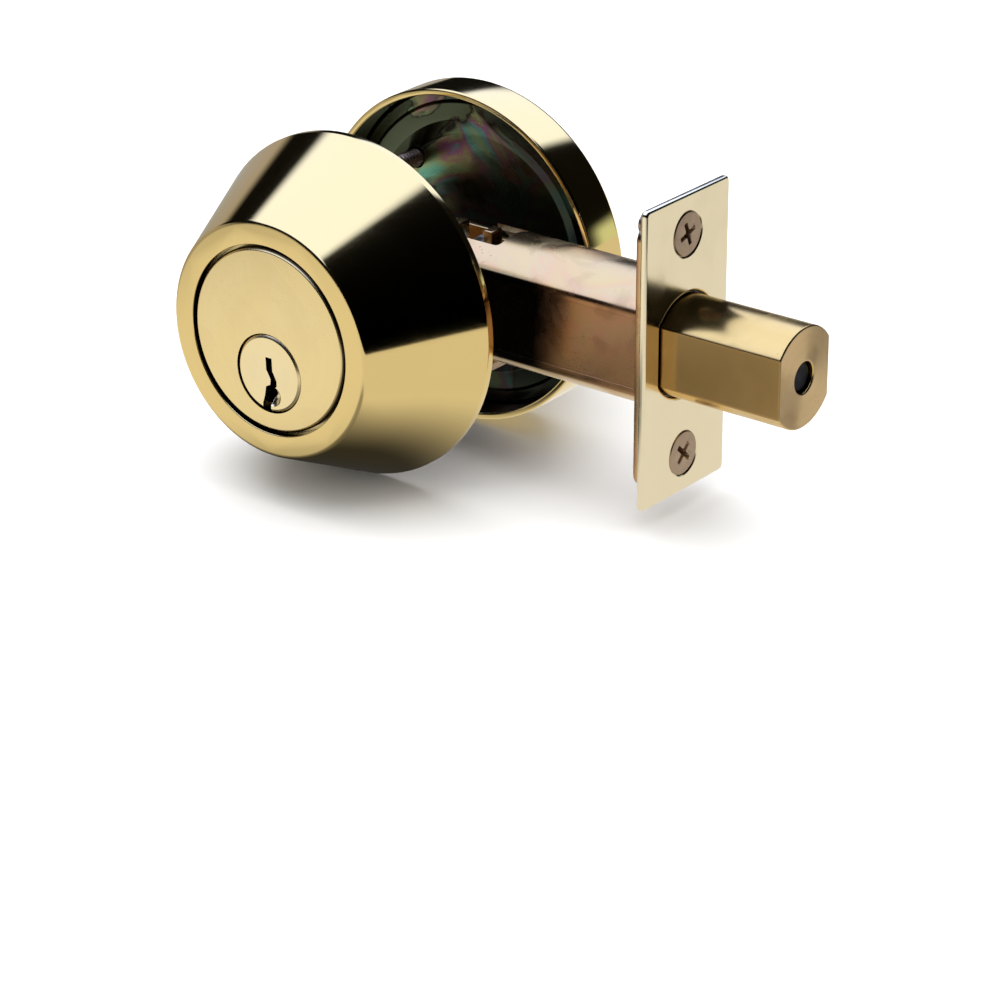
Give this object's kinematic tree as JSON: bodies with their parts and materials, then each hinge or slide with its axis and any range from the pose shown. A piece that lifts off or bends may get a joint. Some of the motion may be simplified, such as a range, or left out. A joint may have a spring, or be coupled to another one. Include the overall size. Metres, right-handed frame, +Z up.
{
  "type": "single-cylinder deadbolt door lock",
  "caption": "Brass deadbolt lock: tapered keyed housing, flatted sliding bolt in its tube with a screwed faceplate, interior rose and thumbturn.",
  "frame": {"origin": "where the axis of the door's cross bore crosses the axis of its edge bore", "axes": "+X the way the bolt throws, -Y the key side, +Y the thumbturn side, +Z up"},
  "size_m": [0.1184, 0.0876, 0.0654],
  "materials": {
    "polished_brass": "mirror polished and lacquered brass",
    "satin_brass": "satin brass",
    "plug_brass": "turned brass",
    "bolt_brass": "machined brass",
    "faceplate_brass": "pale polished brass with rolled edges",
    "yellow_zinc": "zinc plated steel with a yellow chromate film",
    "dark_zinc": "dark iridescent chromate on steel",
    "plated_steel": "bright zinc plate",
    "spring_steel": "plain spring steel",
    "hardened_steel": "dark hardened steel",
    "cast_zinc": "die-cast zinc",
    "bronze_screw": "antique bronze plated screw",
    "nylon": "natural nylon"
  },
  "bodies": {
    "lock_body": {"exterior_housing": "polished_brass", "cylinder_shell": "satin_brass", "driver_pin_1": "bolt_brass", "driver_pin_2": "bolt_brass", "driver_pin_3": "bolt_brass", "driver_pin_4": "bolt_brass", "driver_pin_5": "bolt_brass", "pin_spring_1": "spring_steel", "pin_spring_2": "spring_steel", "pin_spring_3": "spring_steel", "pin_spring_4": "spring_steel", "pin_spring_5": "spring_steel", "pin_chamber_cover": "bolt_brass", "steel_guard_ring": "hardened_steel", "backing_plate": "plated_steel", "mounting_post_1": "plated_steel", "mounting_post_2": "plated_steel", "mounting_screw_1": "bronze_screw", "mounting_screw_2": "bronze_screw", "bolt_tube": "yellow_zinc", "bolt_guide": "nylon", "tube_collar": "cast_zinc", "case_plate_exterior": "yellow_zinc", "case_plate_interior": "yellow_zinc", "case_rivet_1": "plated_steel", "case_rivet_2": "plated_steel", "collar_rivet": "plated_steel", "detent_spring": "spring_steel", "faceplate": "faceplate_brass", "backplate": "yellow_zinc", "faceplate_screw_1": "bronze_screw", "faceplate_screw_2": "bronze_screw", "interior_rose": "polished_brass", "rose_mounting_plate": "dark_zinc", "thumbturn_bushing": "nylon"},
    "plug": {"cylinder_plug": "plug_brass", "plug_cap": "bolt_brass", "key_pin_1": "bolt_brass", "key_pin_2": "bolt_brass", "key_pin_3": "bolt_brass", "key_pin_4": "bolt_brass", "key_pin_5": "bolt_brass"},
    "turn": {"thumbturn": "polished_brass", "thumbturn_clip": "spring_steel", "wave_washer": "spring_steel"},
    "tailpiece": {"tailpiece": "plated_steel"},
    "hub": {"hub_crank": "cast_zinc"},
    "bolt": {"bolt": "bolt_brass", "bolt_tail": "plated_steel", "tail_pin": "plated_steel"},
    "roller": {"bolt_roller": "hardened_steel"}
  },
  "joints": [
    {"name": "thumbturn_turn", "type": "hinge", "parent": "lock_body", "child": "turn", "pos_m": [0, 0, -0.00635], "axis": [0, -1, 0], "range_deg": [0, 90]},
    {"name": "tailpiece_turn", "type": "hinge", "parent": "lock_body", "child": "tailpiece", "pos_m": [0, 0, -0.00635], "axis": [0, -1, 0], "range_deg": [0, 90]},
    {"name": "hub_turn", "type": "hinge", "parent": "lock_body", "child": "hub", "pos_m": [0, 0, -0.00635], "axis": [0, -1, 0], "range_deg": [0, 90]},
    {"name": "bolt_throw", "type": "slide", "parent": "lock_body", "child": "bolt", "axis": [-1, 0, 0], "range_m": [0, 0.0254]},
    {"name": "key_plug_turn", "type": "hinge", "parent": "lock_body", "child": "plug", "pos_m": [0, 0, -0.00635], "axis": [0, 1, 0], "range_deg": [-90, 90]},
    {"name": "roller_spin", "type": "hinge", "parent": "bolt", "child": "roller", "pos_m": [0.0705, 0, 0], "axis": [1, 0, 0], "continuous": true}
  ],
  "couplings": [
    {"joint": "thumbturn_turn", "follows": "bolt_throw", "rad_per_m": 61.842},
    {"joint": "tailpiece_turn", "follows": "bolt_throw", "rad_per_m": 61.842},
    {"joint": "hub_turn", "follows": "bolt_throw", "rad_per_m": 61.842}
  ]
}
